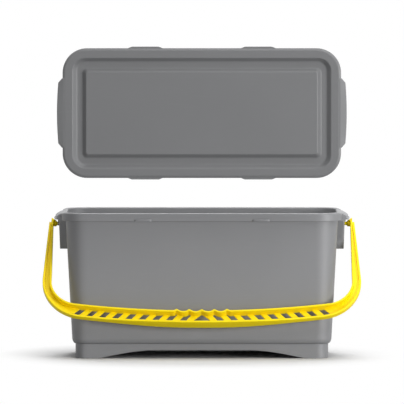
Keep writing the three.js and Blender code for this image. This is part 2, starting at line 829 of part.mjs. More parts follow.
// One sloping end of the lid, lying on the slope of the rim's tab below it
function makeLidTab() {
  const reach = tabReach - lidTabShort;
  const root = tabSlopeStart - lidThickness;
  const bow = tabBow * (reach - tabSlopeStart) / (tabSlopeRun - tabShoulder);
  return bowedBar([
    [root, 0, false],
    [root, lidThickness, false],
    [tabSlopeStart, lidThickness, false],
    [reach - lidEdgeRadius, lidThickness + slopeAt(reach - lidEdgeRadius), true],
    [reach, lidThickness + slopeAt(reach) - lidEdgeRadius, true],
    [reach, slopeAt(reach), true],
    [tabSlopeStart, 0, false],
  ], tabWidth - 2 * seatGap, bow);
}

// A tongue that reaches over the edge of the lid and down past the rim's band. Its top falls back to the
// lid's edge at both ends, and its skirt has the length between
function makeTongue(side) {
  const inside = rimHalfDepth + tongueClearance;
  const outside = inside + tongueThickness;
  const root = lidHalfDepth - 2 * lidThickness;
  const shoulder = lidThickness - lidEdgeRadius / 2;
  const middle = side * tongueSpacing / 2;
  const half = tongueLength / 2;
  const loopAt = (place, fall) => {
    const reach = outside - fall * (outside - lidHalfDepth);
    const ease = lidEdgeRadius / 2;
    return [
      new THREE.Vector3(middle + place, root, 0),
      new THREE.Vector3(middle + place, root, shoulder),
      new THREE.Vector3(middle + place, reach - ease, shoulder),
      new THREE.Vector3(middle + place, reach, shoulder - ease),
      new THREE.Vector3(middle + place, reach, 0),
    ];
  };
  const starts = tonguePlaceShares.map((share, k) => loopAt(tongueEase * share - half, tongueFallShares[k]));
  const ends = tonguePlaceShares.map((share, k) => loopAt(half - tongueEase * share, tongueFallShares[k]));
  const top = toSolid(skinLoops([...starts, ...ends.reverse()]));
  const skirtTop = lidThickness / 2;
  const skirt = new THREE.BoxGeometry(2 * (half - tongueEase), tongueThickness, tongueDrop + skirtTop);
  skirt.translate(middle, (inside + outside) / 2, (skirtTop - tongueDrop) / 2);
  return top.add(toSolid(skirt));
}

function makeLid() {
  let shell = makeLidTop();
  for (const clearing of mirrorPair(makeSlopeClearing(lidThickness))) {
    shell = shell.subtract(clearing);
  }
  shell = shell.add(makeLocatingRib());
  for (const piece of mirrorPair(makeLidTab())) {
    shell = shell.add(piece);
  }
  for (const side of [-1, 1]) {
    const tongue = makeTongue(side);
    shell = shell.add(tongue).add(tongue.mirror([0, 1, 0]));
  }
  return shell;
}

const bucketWithLid = new THREE.Group();
bucketWithLid.add(plasticMesh('bucket_body', makeBucket(), bucketGrey, 0.55));

const hangingHandle = new THREE.Group();
hangingHandle.position.z = pivotHeight;
hangingHandle.rotation.x = -restingLean();
hangingHandle.add(plasticMesh('carrying_handle', makeHandle(), handleYellow, 0.45));
bucketWithLid.add(hangingHandle);

const heldLid = new THREE.Group();
heldLid.position.set(0, -lidHoldForward, rimTop + seatGap + lidHoldRise);
heldLid.rotation.x = Math.PI / 2;
heldLid.add(plasticMesh('lid', makeLid(), lidGrey, 0.55));
bucketWithLid.add(heldLid);

bucketWithLid.position.z = -panelUnderside;

export default bucketWithLid;
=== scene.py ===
# Rectangular grey cleaning bucket with its lid taken off and its yellow handle hanging in front.
import json
import math

import bpy
import numpy as np
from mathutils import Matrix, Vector


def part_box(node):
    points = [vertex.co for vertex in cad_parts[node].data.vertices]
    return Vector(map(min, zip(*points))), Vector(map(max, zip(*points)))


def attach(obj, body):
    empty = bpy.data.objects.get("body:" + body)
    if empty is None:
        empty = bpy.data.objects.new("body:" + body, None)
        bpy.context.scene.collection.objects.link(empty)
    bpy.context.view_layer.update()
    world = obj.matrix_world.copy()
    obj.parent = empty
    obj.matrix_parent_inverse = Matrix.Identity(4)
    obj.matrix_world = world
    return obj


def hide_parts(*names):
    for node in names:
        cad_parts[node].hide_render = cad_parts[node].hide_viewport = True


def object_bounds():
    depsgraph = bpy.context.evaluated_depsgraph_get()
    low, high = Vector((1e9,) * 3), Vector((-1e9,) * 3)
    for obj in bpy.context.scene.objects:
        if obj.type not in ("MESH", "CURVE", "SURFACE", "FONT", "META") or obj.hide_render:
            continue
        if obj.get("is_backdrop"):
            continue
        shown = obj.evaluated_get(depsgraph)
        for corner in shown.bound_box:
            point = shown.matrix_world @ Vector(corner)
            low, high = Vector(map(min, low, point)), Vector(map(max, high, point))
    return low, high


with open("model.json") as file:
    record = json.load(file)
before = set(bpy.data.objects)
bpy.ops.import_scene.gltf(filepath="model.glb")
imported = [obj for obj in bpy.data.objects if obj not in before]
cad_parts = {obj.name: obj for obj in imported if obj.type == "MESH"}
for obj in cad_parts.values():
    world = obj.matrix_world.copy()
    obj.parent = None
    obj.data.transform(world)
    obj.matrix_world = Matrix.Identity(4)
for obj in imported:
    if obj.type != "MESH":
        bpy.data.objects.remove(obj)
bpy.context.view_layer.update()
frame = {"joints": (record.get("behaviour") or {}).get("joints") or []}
print("frame loaded")

milli = 0.001
sharpAngle = 38     # degrees, above which an edge stays sharp
pole = 0.02         # millimetres, the radius at which a turned shape is closed
joints = {joint["name"]: joint for joint in frame["joints"]}
pivotLevel = joints["handle_swing"]["pos_m"][2]
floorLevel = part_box("bucket_body")[0].z
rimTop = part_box("bucket_body")[1].z


# A node socket that ordinary arithmetic works on: each operator adds its own Math node
class Value:
    def __init__(self, tree, socket):
        self.tree = tree
        self.socket = socket

    def math(self, operation, *others):
        return self.tree.add("ShaderNodeMath", {"operation": operation}, [self, *others])

    def __add__(self, other):
        return self.math("ADD", other)

    def __radd__(self, other):
        return self.math("ADD", other)

    def __sub__(self, other):
        return self.math("SUBTRACT", other)

    def __rsub__(self, other):
        return self.tree.add("ShaderNodeMath", {"operation": "SUBTRACT"}, [other, self])

    def __mul__(self, other):
        return self.math("MULTIPLY", other)

    def __rmul__(self, other):
        return self.math("MULTIPLY", other)

    def __truediv__(self, other):
        return self.math("DIVIDE", other)

    def __rtruediv__(self, other):
        return self.tree.add("ShaderNodeMath", {"operation": "DIVIDE"}, [other, self])

    def clamped(self):
        return self.math("MAXIMUM", 0.0).math("MINIMUM", 1.0)


# A node tree whose add method makes any node from its type, its settings and its inputs
class Tree:
    def __init__(self, owner):
        owner.use_nodes = True
        self.nodes = owner.node_tree.nodes
        self.links = owner.node_tree.links
        self.nodes.clear()

    def add(self, kind, settings=None, inputs=None, output=0):
        node = self.nodes.new(kind)
        for name, value in (settings or {}).items():
            setattr(node, name, value)
        pairs = inputs.items() if isinstance(inputs, dict) else enumerate(inputs or [])
        for key, value in pairs:
            if isinstance(value, Value):
                self.links.new(value.socket, node.inputs[key])
            else:
                node.inputs[key].default_value = value
        if not node.outputs:
            return None
        return Value(self, node.outputs[output])


camera = {
    "distance": 16.0,       # metres, from the middle of the mouth
    "elevation": 2.85,      # degrees above the rim
    "lens": 752.8,          # millimetres, on a sensor as wide as below
    "sensor": 36,
    "aimAboveRim": 0.0155,  # metres
    "aimSide": 0.0003,
    "farthest": 100,
}


# The camera stands in front, raised by its elevation, and is tipped to aim a little above the rim
def makeCamera(c):
    data = bpy.data.cameras.new("camera")
    data.lens = c["lens"]
    data.sensor_width = c["sensor"]
    data.clip_end = c["farthest"]
    obj = bpy.data.objects.new("camera", data)
    bpy.context.scene.collection.objects.link(obj)
    lift = math.radians(c["elevation"])
    back = c["distance"] * math.cos(lift)
    rise = c["distance"] * math.sin(lift)
    obj.location = (c["aimSide"], -back, rimTop + rise)
    obj.rotation_euler = (math.pi / 2 - math.atan2(rise - c["aimAboveRim"], back), 0, 0)
    bpy.context.scene.camera = obj


makeCamera(camera)

plastics = {
    "bucket": {
        "color": (0.234, 0.236, 0.244), "roughness": 0.48, "gloss": 0.42,
        "grain": 0.10, "cloud": 0.035, "scuff": 0.05,
    },
    # The real lid is the same grey plastic as the bucket; its colour here is darker as painted shade,
    # standing in for the dimmer light that falls on the lid
    "lid": {
        "color": (0.146, 0.148, 0.152), "roughness": 0.47, "gloss": 0.42,
        "grain": 0.10, "cloud": 0.035, "scuff": 0.05,
    },
    "handle": {
        "color": (0.96, 0.74, 0.004), "roughness": 0.40, "gloss": 0.16,
        "grain": 0.04, "cloud": 0.02, "scuff": 0.03,
    },
}
surface = {
    "grainScale": 1100.0, "grainDepth": 0.0003, "grainRough": 0.08,     # the mould's eroded face
    "cloudScale": 11.0, "cloudRough": 0.06,                             # the flow of the plastic
    "scuffScale": (14.0, 90.0, 260.0), "scuffFrom": 0.62, "scuffSteep": 6.0, "scuffRough": 0.10,
    "refraction": 1.49,
}


# Moulded plastic: an even colour with faint clouds from the mould's flow, a fine spark-eroded grain that
# turns the surface a little, and thin lengthwise scuffs, where a stretched noise is above a level, that are
# slightly paler and rougher
def makePlastic(name, p, s):
    material = bpy.data.materials.new(name)
    tree = Tree(material)
    place = tree.add("ShaderNodeTexCoord", output=3)
    grain = tree.add("ShaderNodeTexNoise", inputs={"Vector": place, "Scale": s["grainScale"], "Detail": 2.0})
    cloud = tree.add("ShaderNodeTexNoise", inputs={"Vector": place, "Scale": s["cloudScale"], "Detail": 3.0})
    along = tree.add("ShaderNodeMapping", inputs={"Vector": place, "Scale": s["scuffScale"]})
    streak = tree.add("ShaderNodeTexNoise", inputs={"Vector": along, "Scale": 1.0, "Detail": 4.0})
    scuff = ((streak - s["scuffFrom"]) * s["scuffSteep"]).clamped()
    shade = 1.0 + (cloud - 0.5) * (2.0 * p["cloud"]) + scuff * p["scuff"]
    white = tree.add("ShaderNodeCombineXYZ", inputs=[shade, shade, shade])
    color = tree.add("ShaderNodeVectorMath", {"operation": "MULTIPLY"}, [white, p["color"]])
    roughFromGrain = (grain - 0.5) * s["grainRough"]
    roughFromCloud = (cloud - 0.5) * s["cloudRough"]
    rough = p["roughness"] + roughFromGrain + scuff * s["scuffRough"] + roughFromCloud
    bump = tree.add("ShaderNodeBump", inputs={
        "Height": grain, "Strength": p["grain"], "Distance": s["grainDepth"],
    })
    shader = tree.add("ShaderNodeBsdfPrincipled", inputs={
        "Base Color": color, "Roughness": rough, "Normal": bump,
        "IOR": s["refraction"], "Specular IOR Level": p["gloss"],
    })
    tree.add("ShaderNodeOutputMaterial", inputs={"Surface": shader})
    return material


materials = {kind: makePlastic(kind + "Plastic", p, surface) for kind, p in plastics.items()}
print("materials made")


# A path through corner points with each corner eased: at a corner P with sides towards A and B and an ease e,
# the path is P + e (1 - u)^2 towards A + e u^2 towards B for u from 0 to 1, with one more point on each
# side just outside the ease, so that flats stay flat. The points may have any number of coordinates
def easedPath(corners, eases, steps=5, closed=False, guard=0.3):
    c = np.array(corners, float)
    e = np.array(eases, float)[:, None, None]
    before = np.roll(c, 1, 0) - c
    after = np.roll(c, -1, 0) - c
    before /= np.linalg.norm(before, axis=1, keepdims=True)
    after /= np.linalg.norm(after, axis=1, keepdims=True)
    u = np.linspace(0, 1, steps + 1)
    towardsBefore = np.concatenate([[1 + guard], (1 - u) ** 2, [0]])[None, :, None]
    towardsAfter = np.concatenate([[0], u ** 2, [1 + guard]])[None, :, None]
    points = c[:, None] + e * (before[:, None] * towardsBefore + after[:, None] * towardsAfter)
    if closed:
        return points.reshape(-1, c.shape[1])
    return np.concatenate([c[:1], points[1:-1].reshape(-1, c.shape[1]), c[-1:]])


# Loops round a rectangle with round corners, one for each row of half length, half depth, corner radius and
# height. Along a loop x is (half length - radius) * shareX + radius * turnX, and y likewise, where the shares
# run from side to side on the straights and the turns are the cosine and sine at the corners
def roundedLoops(rows, longShares, endShares, cornerSteps=14):
    angle = np.linspace(0, np.pi / 2, cornerSteps + 1)
    shareX, shareY, turnX, turnY = [], [], [], []
    for quarter, (sideX, sideY) in enumerate(((1, 1), (-1, 1), (-1, -1), (1, -1))):
        turned = angle + quarter * np.pi / 2
        shareX.append(np.full(len(angle), float(sideX)))
        shareY.append(np.full(len(angle), float(sideY)))
        turnX.append(np.cos(turned))
        turnY.append(np.sin(turned))
        if quarter % 2 == 0:
            shareX.append(sideX * -longShares)
            shareY.append(np.full(len(longShares), float(sideY)))
            turnX.append(np.zeros(len(longShares)))
            turnY.append(np.full(len(longShares), float(sideY)))
        else:
            shareX.append(np.full(len(endShares), float(sideX)))
            shareY.append(sideY * -endShares)
            turnX.append(np.full(len(endShares), float(sideX)))
            turnY.append(np.zeros(len(endShares)))
    shareX, shareY, turnX, turnY = (np.concatenate(part) for part in (shareX, shareY, turnX, turnY))
    length, depth, radius, height = (np.array(rows, float)[:, k, None] for k in range(4))
    x = (length - radius) * shareX + radius * turnX
    y = (depth - radius) * shareY + radius * turnY
    return np.stack([x, y, height + 0 * x], axis=-1)


straightEnd = 0.99      # the straights' points stop this near their corners
stepShare = 0.004       # the side of a tab is stepped in this share of the straight


# Shares along an end's straight, with many between the sides of the tab and a steep step at each side
def endShares(tabShare, outsideCount, insideCount):
    outside = np.linspace(tabShare + stepShare, straightEnd, outsideCount)
    return np.concatenate([-outside[::-1], np.linspace(-tabShare, tabShare, insideCount), outside])


# A closed skin over a grid of points: each row is a closed loop, neighbouring rows are joined by quads, and
# the first and last rows are closed with one flat face each. It is turned right side out by its volume
def skinOf(grid):
    rows, count = grid.shape[:2]
    points = grid.reshape(-1, 3)
    index = np.arange(rows * count).reshape(rows, count)
    low, high = index[:-1], index[1:]
    quads = np.stack([low, np.roll(low, -1, 1), np.roll(high, -1, 1), high], axis=-1).reshape(-1, 4)
    ends = [index[0][::-1].tolist(), index[-1].tolist()]
    a, b, c, d = (points[quads[:, k]] - points.mean(0) for k in range(4))
    volume = (np.cross(b, c) * a + np.cross(c, d) * a).sum()
    for end in ends:
        ring = points[end] - points.mean(0)
        volume += (np.cross(ring[1:-1], ring[2:]) * ring[0]).sum()
    faces = quads.tolist() + ends
    if volume < 0:
        faces = [face[::-1] for face in faces]
    return points, faces


# A piece of the object from one or more grids in millimetres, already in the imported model's frame
def makePiece(name, grids, body, slot, kind, node):
    points, faces, start = [], [], 0
    for grid in grids:
        part, partFaces = skinOf(grid)
        points.append(part)
        faces += [[corner + start for corner in face] for face in partFaces]
        start += len(part)
    mesh = bpy.data.meshes.new(name)
    mesh.from_pydata(np.concatenate(points) * milli, [], faces)
    mesh.shade_smooth()
    mesh.set_sharp_from_angle(angle=math.radians(sharpAngle))
    mesh.materials.append(materials[kind])
    piece = bpy.data.objects.new(name, mesh)
    bpy.context.scene.collection.objects.link(piece)
    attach(piece, body)
    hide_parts(node)
    print(name, "made,", len(mesh.polygons), "faces")
    return piece


# The grids and the same ones with x turned to minus x
def mirrored(grids):
    return grids + [grid * (-1, 1, 1) for grid in grids]


groundDrop = -floorLevel / milli        # the ground lies this far under the frame's origin

# Millimetres, apart from shares such as the taper. Heights are from the ground
tub = {
    "height": 275, "length": 514.8, "depth": 229.8, "corner": 42, "taper": 0.0538, "wall": 3,
    "footHeight": 27.5, "footIn": 6.4, "footStep": 12, "footWall": 3, "panel": 3, "leastCorner": 2.6,
    "archDrop": 9.2, "archRun": 99, "archEnd": 44, "archBend": 0.3,
    "overhang": 6.6, "band": 15.2, "bandWall": 2.2, "flange": 2.6,
    "rimOuterEase": 3.4, "rimInnerEase": 3.0, "stepEase": 0.4, "panelLap": 22, "floorLap": 30,
    "tabWidth": 131, "tabProud": 12.8, "tabRun": 19.8, "tabShoulder": 5, "tabEase": 1.2, "tabDrop": 5.8,
    "tabBow": 3.6, "tabSkirt": 8.6, "tabLip": 2.7, "tabLipHeight": 3.2, "tabWall": 2.4,
    "tabCheek": 3.6, "cheekSlope": 1.3, "tabRound": 1.3, "tabRoundOver": 4, "tabRoot": 0.6,
    "underTab": 0.5,        # the tub's own skin lies this far under the tab's slope
    "cornerFall": 0.8,      # share of the slope by which the rim falls off beside a tab
    "housingProud": 12.6, "housingDraw": 1.6, "housingHeight": 72, "housingTop": 58, "housingFoot": 44,
    "housingWall": 2.8, "housingEase": 3.2, "housingGap": 0.6, "pinHole": 3.9,
    "ledgeLength": 33, "ledgeSpacing": 222, "ledgeReach": 2.4, "ledgeHeight": 4, "ledgeSlope": 3.2,
    "ledgeRoot": 1,
}
tabReach = tub["length"] / 2 + tub["overhang"] + tub["tabProud"]
slopeStart = tabReach - tub["tabRun"]
tabSlack = 0.01         # millimetres, so that the rows at a tab's very edge count as under it
pivotHeight = pivotLevel / milli + groundDrop


# How far the tapering wall has drawn in at a height: its distance below the rim times the taper
def wallInset(height):
    return (tub["height"] - height) * tub["taper"]


# Fall of a rim tab's slope at a place: nothing up to the crease, then straight down to the shoulder, whose
# place draws in by the bow times the square of the share of the half width
def slopeFall(x, y, width):
    share = np.clip(2 * np.abs(y) / width, 0, 1)
    run = tub["tabRun"] - tub["tabShoulder"]
    drop = tub["tabDrop"] * run / tub["tabRun"]
    return np.maximum(np.abs(x) - slopeStart, 0) * drop / (run - tub["tabBow"] * share ** 2)


# Where a place lies under a tab of the given width, past the crease
def underSlope(x, y, width):
    return (np.abs(y) <= width / 2 + tabSlack) & (np.abs(x) > slopeStart)


# Height of the arch in the front of the foot ring at a place along the bucket: a curve that leaves the floor
# at the arch's end, bends towards the flat and meets it level. The back of the ring has none
def archHeight(x, y, t):
    footHalf = t["length"] / 2 - wallInset(t["footHeight"] + t["footStep"]) - t["footIn"]
    end = footHalf - t["archEnd"]
    flat = end - t["archRun"]
    bend = flat + t["archRun"] * t["archBend"]
    top = t["footHeight"] - t["panel"] - t["archDrop"]
    u = np.linspace(0, 1, 120)
    across = end * (1 - u) ** 2 + 2 * bend * u * (1 - u) + flat * u ** 2
    rise = top * (1 - (1 - u) ** 2)
    return np.where(y < 0, np.interp(np.abs(x), across[::-1], rise[::-1]), 0)


# The tub, foot ring and rim in one skin: a profile of inset and height, carried round the mouth's outline.
# It runs from the underside of the bottom panel round the foot ring, up the wall, round the rim's hollow band
# and flange, and down the inside to the floor. Heights in the foot ring are squeezed above the arch, and the
# rim's ends are lowered under the slopes of its tabs, and its corners fall off beside them
def tubGrid(t):
    quarter = np.linspace(0, np.pi / 2, 9)[1:-1]
    footOut = wallInset(t["footHeight"] + t["footStep"]) + t["footIn"]
    footIn = footOut + t["footWall"]
    under = t["footHeight"] - t["panel"]
    stepTop = t["footHeight"] + t["footStep"]
    bandFoot = t["height"] - t["band"]
    hollowTop = t["height"] - t["flange"]
    bandIn = t["bandWall"] - t["overhang"]
    stepCurve, floorCurve = [], []
    for a in quarter:
        level = t["footHeight"] + t["footStep"] * (1 - math.cos(a))
        stepCurve.append((footOut - t["footIn"] * math.sin(a), level, t["stepEase"]))
        across = t["footStep"] * (1 - math.sin(a)) - t["footIn"] * (1 - math.cos(a))
        floorCurve.insert(0, (t["wall"] + footOut + across, level, t["stepEase"]))
    corners = [
        (footIn + t["panelLap"], under, 0), (footIn, under, 2.0), (footIn, 0, 0.6), (footOut, 0, 0.9),
        (footOut, t["footHeight"], 0.5), *stepCurve, (wallInset(stepTop), stepTop, 1.2),
        (wallInset(hollowTop), hollowTop, 1.0), (bandIn, hollowTop, 0.9), (bandIn, bandFoot, 0.7),
        (-t["overhang"], bandFoot, 0.8), (-t["overhang"], t["height"], t["rimOuterEase"]),
        (t["wall"], t["height"], t["rimInnerEase"]),
        (t["wall"] + wallInset(stepTop), stepTop, 1.2), *floorCurve,
        (t["wall"] + footOut + t["footStep"], t["footHeight"], 1.0),
        (t["wall"] + footOut + t["floorLap"], t["footHeight"], 0),
    ]
    path = easedPath([corner[:2] for corner in corners], [corner[2] for corner in corners], steps=4)
    inset, height = path[:, 0], path[:, 1]
    rows = np.stack([
        t["length"] / 2 - inset, t["depth"] / 2 - inset,
        np.maximum(t["corner"] - inset, t["leastCorner"]), height,
    ], axis=1)
    ends = endShares(t["tabWidth"] / 2 / (t["depth"] / 2 - t["corner"]), 3, 24)
    grid = roundedLoops(rows, np.linspace(-straightEnd, straightEnd, 90), ends)
    x, y, z = grid[..., 0], grid[..., 1], grid[..., 2]
    arch = archHeight(x, y, t)
    squeezed = np.where(z < under, arch + z * (under - arch) / under, z)
    z = np.where(z <= under, squeezed, z)
    fall = slopeFall(x, y, t["tabWidth"])
    within = underSlope(x, y, t["tabWidth"])
    z = np.minimum(z, t["height"] - np.where(within, fall + t["underTab"], t["cornerFall"] * fall))
    return np.stack([x, y, z - groundDrop], axis=-1)


# A bar across one end: an outline of x and height whose points marked as following draw in by the bow times
# the square of the share of the half width, with both ends rounded over by sinking the outline's upper side
def bowedGrid(outline, follows, width, bow, rounding, sinks, breaks=()):
    turn = np.linspace(0, np.pi / 2, 5)
    endPlaces = width / 2 - rounding * (1 - np.sin(turn))
    endSinks = rounding * (1 - np.cos(turn))
    inner = np.append(np.linspace(-1, 1, 25)[1:-1] * (width / 2 - rounding), breaks)
    places = np.concatenate([-endPlaces[::-1], inner, endPlaces])
    sink = np.concatenate([endSinks[::-1], 0 * inner, endSinks])
    order = np.argsort(places, kind="stable")
    places, sink = places[order][:, None], sink[order][:, None]
    share = 2 * places / width
    x = outline[None, :, 0] - bow * share ** 2 * follows[None, :] - sink * follows[None, :]
    z = outline[None, :, 1] - sink * sinks[None, :]
    return np.stack([x, places + 0 * x, z], axis=-1)


# The sloping tab of the rim: crease, slope, rounded shoulder, skirt and lip outside, hollow inside. Between
# its two side walls the inside follows the outside at the wall's thickness, and in them it is filled, down
# past the skirt's foot by up to the cheek
def rimTabGrid(t):
    root = t["length"] / 2 - t["wall"] + t["tabRoot"]
    low = t["height"] - t["tabDrop"]
    shoulder = tabReach - t["tabShoulder"]
    shoulderZ = t["height"] - slopeFall(shoulder, 0, t["tabWidth"])
    foot = low - t["tabSkirt"]
    lipTop = foot + t["tabLipHeight"]
    outside = [
        (root, t["height"] - 1.5, 0), (slopeStart - 0.3, t["height"] - 0.03, 0.6), (shoulder, shoulderZ, 2.2),
        (tabReach - t["tabEase"], low - t["tabEase"], 0.8), (tabReach, low - 2 * t["tabEase"], 0.5),
        (tabReach, lipTop, 0.3), (tabReach + t["tabLip"], lipTop - t["tabLipHeight"] / 2, 0.7),
        (tabReach + t["tabLip"], foot, 0.5), (tabReach - t["tabWall"], foot, 0.4),
        (tabReach - t["tabWall"], low - t["tabShoulder"], 1.0),
        (shoulder - t["tabWall"] / 2, shoulderZ - t["tabWall"], 1.0),
        (slopeStart, t["height"] - t["tabWall"], 0.5), (root, t["height"] - t["tabWall"], 0),
    ]
    path = easedPath([corner[:2] for corner in outside], [corner[2] for corner in outside], steps=4)
    follows = np.clip((path[:, 0] - slopeStart) / (shoulder - slopeStart), 0, 1)
    firstInside = int(np.argmax((path[:, 1] <= foot + 0.01) & (path[:, 0] < tabReach)))
    isInside = np.arange(len(path)) > firstInside
    sinks = np.where(isInside, 0.0, np.clip((path[:, 1] - foot) / t["tabRoundOver"], 0, 1))
    grid = bowedGrid(path, follows, t["tabWidth"], t["tabBow"], t["tabRound"], sinks)
    inSideWall = np.abs(grid[..., 1]) > t["tabWidth"] / 2 - t["tabWall"]
    sideFoot = foot - np.clip((tabReach - grid[..., 0]) * t["cheekSlope"], 0, t["tabCheek"])
    grid[..., 2] = np.where(inSideWall & isInside[None, :], sideFoot, grid[..., 2])
    grid[..., 2] -= groundDrop
    return grid


# One pivot housing: an outline of three straight sides with two eased edges, carried up from the open foot.
# Its width and face draw in towards the foot, and the inside is the same outline less the wall. Each row
# gives its height, how far it lies inside the face, and how much deeper its root lies in the tub's wall
def housingGrid(t):
    top = t["height"] - t["tabDrop"] - t["housingGap"]
    foot = t["height"] - t["housingHeight"]
    full = t["height"] - t["tabWall"] / 2
    rows = [
        (top - 3.2, t["housingWall"], 3.2), (foot + 0.5, t["housingWall"], 3.2),
        (foot + 0.1, t["housingWall"] - 0.4, 2.8), (foot, t["housingWall"] - 0.8, 2.2),
        (foot, 0.7, 0.5), (foot + 0.25, 0.2, 0.1), (foot + 0.8, 0, 0),
        *((foot + share * (top - foot), 0, 0) for share in (0.1, 0.3, 0.5, 0.7, 0.9, 1.0)),
    ]
    grid = []
    for height, shrink, deeper in rows:
        share = (height - foot) / (full - foot)
        half = (t["housingFoot"] + (t["housingTop"] - t["housingFoot"]) * share) / 2 - shrink
        draw = t["housingDraw"] * (pivotHeight - height) / (pivotHeight - foot)
        face = t["length"] / 2 + t["housingProud"] - draw - shrink
        root = t["length"] / 2 - wallInset(height) - t["wall"] / 2 - deeper
        ease = max(t["housingEase"] - shrink, 0.8)
        sides = [(root, -half), (face, -half), (face, half), (root, half)]
        outline = easedPath(sides, [0, ease, ease, 0], steps=6)
        grid.append(np.column_stack([outline, np.full(len(outline), height - groundDrop)]))
    return np.array(grid)


# A thumb ledge at the foot of the rim's band: a rounded section that grows out over each slanted end
def ledgeGrid(t, side, front):
    half = t["ledgeLength"] / 2
    places = np.array([0, 0.35, 0.8, 1.1]) * t["ledgeSlope"] - half
    places = np.concatenate([places, -places[::-1]])
    reach = np.clip((half - np.abs(places)) / t["ledgeSlope"], 0.02, 1) * t["ledgeReach"]
    foot = t["height"] - t["band"]
    top = foot + t["ledgeHeight"]
    face = t["depth"] / 2 + t["overhang"]
    root = face - t["ledgeRoot"]
    middle = side * t["ledgeSpacing"] / 2
    grid = []
    for place, out in zip(places, reach):
        section = easedPath(
            [(root, foot), (face + out, foot), (face + out, top), (root, top)], [0, 0.25, 0.45, 0], steps=3)
        grid.append(np.column_stack([
            np.full(len(section), middle + place), front * section[:, 0], section[:, 1] - groundDrop]))
    return np.array(grid)


# A pin hole through the face of each housing, cut with a round rod
def cutPinHoles(piece, t):
    angle = np.linspace(0, 2 * np.pi, 49)[:-1]
    reach = t["length"] / 2 + t["housingProud"]
    ends = np.array([reach - 2 * t["housingWall"], reach + 3])
    circle = np.stack([0 * angle, np.cos(angle), np.sin(angle)], axis=-1)
    ring = circle * t["pinHole"] + (0, 0, pivotLevel / milli)
    for side in (-1, 1):
        points, faces = skinOf(ring[None] + np.array([[(side * end, 0, 0)] for end in ends]))
        mesh = bpy.data.meshes.new("rod")
        mesh.from_pydata(points * milli, [], faces)
        rod = bpy.data.objects.new("rod", mesh)
        bpy.context.scene.collection.objects.link(rod)
        cut = piece.modifiers.new("pinHole", "BOOLEAN")
        cut.object = rod
        cut.operation = "DIFFERENCE"
        bpy.context.view_layer.update()
        whole = bpy.data.meshes.new_from_object(piece.evaluated_get(bpy.context.evaluated_depsgraph_get()))
        piece.modifiers.clear()
        piece.data = whole
        bpy.data.objects.remove(rod)
    piece.data.set_sharp_from_angle(angle=math.radians(sharpAngle))


bucketLook = ("bucket", "bucket_grey", "bucket", "bucket_body")
makePiece("bucketTub", [tubGrid(tub)], *bucketLook)
makePiece("rimTabs", mirrored([rimTabGrid(tub)]), *bucketLook)
housings = makePiece("pivotHousings", mirrored([housingGrid(tub)]), *bucketLook)
cutPinHoles(housings, tub)
ledges = [ledgeGrid(tub, side, front) for side in (-1, 1) for front in (-1, 1)]
makePiece("thumbLedges", ledges, *bucketLook)

# Millimetres, on the lid lying flat with its seat at zero
lid = {
    "endIn": 4.2, "sideIn": 0.3, "corner": 46, "thickness": 2.4, "border": 18.45,
    "edge": 0.15, "edgeFoot": -0.2, "edgeRun": 4.2, "edgeUnder": 2.4,
    "channelCorner": 24, "wallRunEnd": 8.4, "wallRunSide": 6, "floorCorner": 18, "floorEnd": 10.2,
    "floorSide": 13.5, "channelDepth": 7.5, "panelFootCorner": 8, "panelRunEnd": 7.1, "panelRunSide": 6.3,
    "panelCorner": 4, "panelRise": 7, "panelLap": 30, "ribHeight": 6, "ribWall": 2, "ribClearance": 2.6,
    "tabShort": 6.4, "tabWidth": 130.4, "tabRound": 1.2, "tabRoot": 5.4, "tabSlant": 8.5, "tabSlantDraw": 6.6,
    "underTab": 0.4,        # the plate's own skin lies this far under the tab's slope
    "tongueLength": 70, "tongueSpacing": 211, "tongueWall": 1.8, "tongueRise": 0.5, "tongueGap": 0.7,
    "tongueDrop": 9, "tongueEase": 11, "tongueRoot": 4.8, "tongueUnder": 0.4,
    "forward": 228, "rise": 192.4, "seat": 0.3,
}


# From the lid lying flat, seat at zero, to the lid held upright with its top to the front
def standLid(grid):
    x, y, z = grid[..., 0], grid[..., 1], grid[..., 2]
    level = tub["height"] + lid["seat"] + lid["rise"] - groundDrop
    return np.stack([x, -lid["forward"] - z, level + y], axis=-1)


